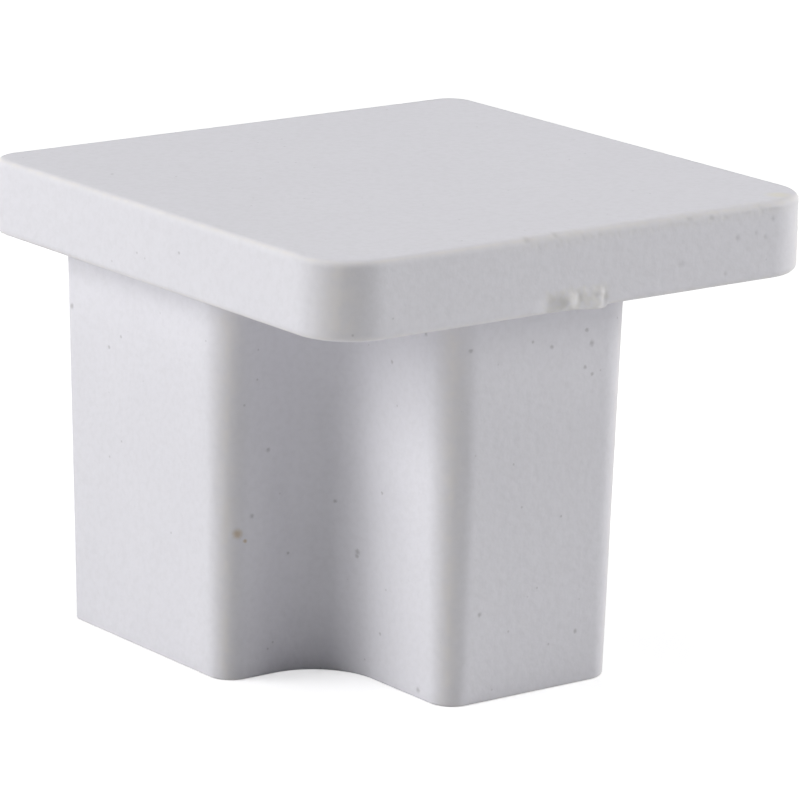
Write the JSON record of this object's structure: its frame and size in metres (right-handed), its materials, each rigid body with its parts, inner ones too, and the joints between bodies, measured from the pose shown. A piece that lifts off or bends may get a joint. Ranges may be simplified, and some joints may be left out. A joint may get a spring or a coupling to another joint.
{
  "type": "trunking end cap",
  "caption": "Push-in end cap for square mini trunking: a thick square flange on a hollow tapered plug that is notched at its lid-side corners.",
  "frame": {"origin": "centre of the flange's square, on the plane of the plug's rim", "axes": "+Z from the plug's rim to the flange's outer face, +Y towards the wall side, -Y towards the lid side, X across the trunking"},
  "size_m": [0.016, 0.0161, 0.0129],
  "materials": {
    "white_pvc": "off-white moulded plastic with a fine matt skin"
  },
  "bodies": {
    "root": {"end_cap": "white_pvc"}
  },
  "joints": []
}
